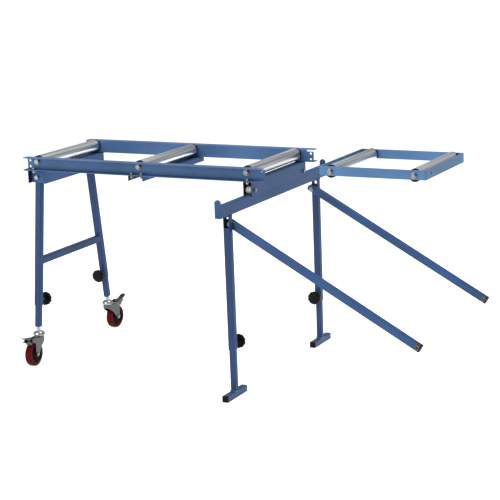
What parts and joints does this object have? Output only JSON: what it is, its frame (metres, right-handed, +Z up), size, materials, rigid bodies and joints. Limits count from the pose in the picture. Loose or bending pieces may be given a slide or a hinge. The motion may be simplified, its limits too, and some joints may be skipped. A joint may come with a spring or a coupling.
{
  "type": "outfeed roller table",
  "caption": "Outfeed roller table on splayed castor legs that rolls across a braced stand, with a short roller frame beyond it.",
  "frame": {"origin": "on the floor, under the middle of the overall length and of the stand's beam", "axes": "+X along the feed, from the castor legs towards the machine; +Y across the feed, to the far side; +Z up"},
  "size_m": [1.7582, 0.942, 0.8545],
  "materials": {
    "blue_paint": "satin powder coat",
    "light_blue_paint": "satin powder coat",
    "bright_zinc": "satin zinc plate",
    "roller_steel": "fine turned steel",
    "black_plastic": "fine grain",
    "white_nylon": "satin",
    "red_tread": "satin polyurethane"
  },
  "bodies": {
    "stand": {"cross_beam": "blue_paint", "strut_end_sleeves": "bright_zinc", "strut_end_plugs": "black_plastic", "strut_bolts": "bright_zinc", "clamp_nuts_stand": "bright_zinc", "extension_frame": "light_blue_paint", "extension_axles": "bright_zinc", "extension_axle_bolts": "bright_zinc", "stop_plate_near": "blue_paint", "stand_leg_near": "blue_paint", "strut_near": "blue_paint", "stop_plate_far": "blue_paint", "stand_leg_far": "blue_paint", "strut_far": "blue_paint"},
    "table": {"cross_member_left": "blue_paint", "cross_member_middle": "blue_paint", "saddle_channel": "blue_paint", "roller_axles": "bright_zinc", "roller_axle_bolts": "bright_zinc", "frame_bolts": "bright_zinc", "track_roller_bolts": "bright_zinc", "leg_crossbar": "blue_paint", "castor_leg_bolts": "bright_zinc", "clamp_nuts_castor": "bright_zinc", "rail_near": "blue_paint", "castor_leg_near": "blue_paint", "rail_far": "blue_paint", "castor_leg_far": "blue_paint"},
    "table_roller_left": {"table_roller_left": "roller_steel"},
    "table_roller_middle": {"table_roller_middle": "roller_steel"},
    "table_roller_right": {"table_roller_right": "roller_steel"},
    "extension_roller_left": {"extension_roller_left": "roller_steel"},
    "extension_roller_right": {"extension_roller_right": "roller_steel"},
    "track_roller_near": {"track_roller_near": "white_nylon"},
    "castor_leg_slide_near": {"castor_tube_near": "blue_paint", "castor_stem_near": "bright_zinc"},
    "castor_fork_near": {"castor_fork_near": "bright_zinc", "castor_bolt_near": "bright_zinc"},
    "castor_wheel_near": {"castor_hub_near": "black_plastic", "castor_tread_near": "red_tread"},
    "castor_pedal_near": {"castor_pedal_near": "bright_zinc"},
    "foot_near": {"foot_tube_near": "blue_paint", "foot_bar_near": "blue_paint", "foot_caps_near": "black_plastic"},
    "clamp_knob_stand_near": {"clamp_knob_stand_near": "black_plastic"},
    "clamp_knob_castor_near": {"clamp_knob_castor_near": "black_plastic"},
    "track_roller_far": {"track_roller_far": "white_nylon"},
    "castor_leg_slide_far": {"castor_tube_far": "blue_paint", "castor_stem_far": "bright_zinc"},
    "castor_fork_far": {"castor_fork_far": "bright_zinc", "castor_bolt_far": "bright_zinc"},
    "castor_wheel_far": {"castor_hub_far": "black_plastic", "castor_tread_far": "red_tread"},
    "castor_pedal_far": {"castor_pedal_far": "bright_zinc"},
    "foot_far": {"foot_tube_far": "blue_paint", "foot_bar_far": "blue_paint", "foot_caps_far": "black_plastic"},
    "clamp_knob_stand_far": {"clamp_knob_stand_far": "black_plastic"},
    "clamp_knob_castor_far": {"clamp_knob_castor_far": "black_plastic"}
  },
  "joints": [
    {"name": "table_slide", "type": "slide", "parent": "stand", "child": "table", "axis": [0, 1, 0], "range_m": [-0.237, 0.201]},
    {"name": "table_roller_left_spin", "type": "hinge", "parent": "table", "child": "table_roller_left", "pos_m": [-0.83213, 0.018, 0.8295], "axis": [0, 1, 0], "continuous": true},
    {"name": "table_roller_middle_spin", "type": "hinge", "parent": "table", "child": "table_roller_middle", "pos_m": [-0.35913, 0.018, 0.8295], "axis": [0, 1, 0], "continuous": true},
    {"name": "table_roller_right_spin", "type": "hinge", "parent": "table", "child": "table_roller_right", "pos_m": [0.11387, 0.018, 0.8295], "axis": [0, 1, 0], "continuous": true},
    {"name": "extension_roller_left_spin", "type": "hinge", "parent": "stand", "child": "extension_roller_left", "pos_m": [0.41737, 0.1025, 0.8295], "axis": [0, 1, 0], "continuous": true},
    {"name": "extension_roller_right_spin", "type": "hinge", "parent": "stand", "child": "extension_roller_right", "pos_m": [0.75437, 0.1025, 0.8295], "axis": [0, 1, 0], "continuous": true},
    {"name": "track_roller_near_spin", "type": "hinge", "parent": "table", "child": "track_roller_near", "pos_m": [0.12587, -0.198, 0.7623], "axis": [1, 0, 0], "continuous": true},
    {"name": "castor_leg_extend_near", "type": "slide", "parent": "table", "child": "castor_leg_slide_near", "axis": [0, -0.1323, -0.9912], "range_m": [-0.07, 0.15]},
    {"name": "castor_swivel_near", "type": "hinge", "parent": "castor_leg_slide_near", "child": "castor_fork_near", "pos_m": [-0.85013, -0.24836, 0.115], "axis": [0, 0, 1], "continuous": true},
    {"name": "castor_wheel_spin_near", "type": "hinge", "parent": "castor_fork_near", "child": "castor_wheel_near", "pos_m": [-0.84845, -0.29633, 0.05], "axis": [0.9994, 0.0349, 0], "continuous": true},
    {"name": "castor_brake_near", "type": "hinge", "parent": "castor_fork_near", "child": "castor_pedal_near", "pos_m": [-0.84762, -0.32032, 0.112], "axis": [0.9994, 0.0349, 0], "range_deg": [0, 11]},
    {"name": "foot_extend_near", "type": "slide", "parent": "stand", "child": "foot_near", "axis": [0, 0, -1], "range_m": [-0.14, 0.15]},
    {"name": "clamp_stand_near", "type": "hinge", "parent": "stand", "child": "clamp_knob_stand_near", "pos_m": [0.12587, -0.3775, 0.207], "axis": [0, 1, 0], "range_deg": [0, 360]},
    {"name": "clamp_castor_near", "type": "hinge", "parent": "table", "child": "clamp_knob_castor_near", "pos_m": [-0.85013, -0.22017, 0.26045], "axis": [0, 0.9912, -0.1323], "range_deg": [0, 360]},
    {"name": "track_roller_far_spin", "type": "hinge", "parent": "table", "child": "track_roller_far", "pos_m": [0.12587, 0.234, 0.7623], "axis": [1, 0, 0], "continuous": true},
    {"name": "castor_leg_extend_far", "type": "slide", "parent": "table", "child": "castor_leg_slide_far", "axis": [0, 0.1323, -0.9912], "range_m": [-0.07, 0.15]},
    {"name": "castor_swivel_far", "type": "hinge", "parent": "castor_leg_slide_far", "child": "castor_fork_far", "pos_m": [-0.85013, 0.28436, 0.115], "axis": [0, 0, 1], "continuous": true},
    {"name": "castor_wheel_spin_far", "type": "hinge", "parent": "castor_fork_far", "child": "castor_wheel_far", "pos_m": [-0.84678, 0.33224, 0.05], "axis": [-0.9976, 0.0698, 0], "continuous": true},
    {"name": "castor_brake_far", "type": "hinge", "parent": "castor_fork_far", "child": "castor_pedal_far", "pos_m": [-0.84511, 0.35618, 0.112], "axis": [-0.9976, 0.0698, 0], "range_deg": [0, 11]},
    {"name": "foot_extend_far", "type": "slide", "parent": "stand", "child": "foot_far", "axis": [0, 0, -1], "range_m": [-0.14, 0.15]},
    {"name": "clamp_stand_far", "type": "hinge", "parent": "stand", "child": "clamp_knob_stand_far", "pos_m": [0.12587, 0.3775, 0.207], "axis": [0, -1, 0], "range_deg": [0, 360]},
    {"name": "clamp_castor_far", "type": "hinge", "parent": "table", "child": "clamp_knob_castor_far", "pos_m": [-0.85013, 0.25617, 0.26045], "axis": [0, -0.9912, -0.1323], "range_deg": [0, 360]}
  ],
  "couplings": [
    {"joint": "track_roller_near_spin", "follows": "table_slide", "rad_per_m": -71.429},
    {"joint": "track_roller_far_spin", "follows": "table_slide", "rad_per_m": -71.429}
  ]
}
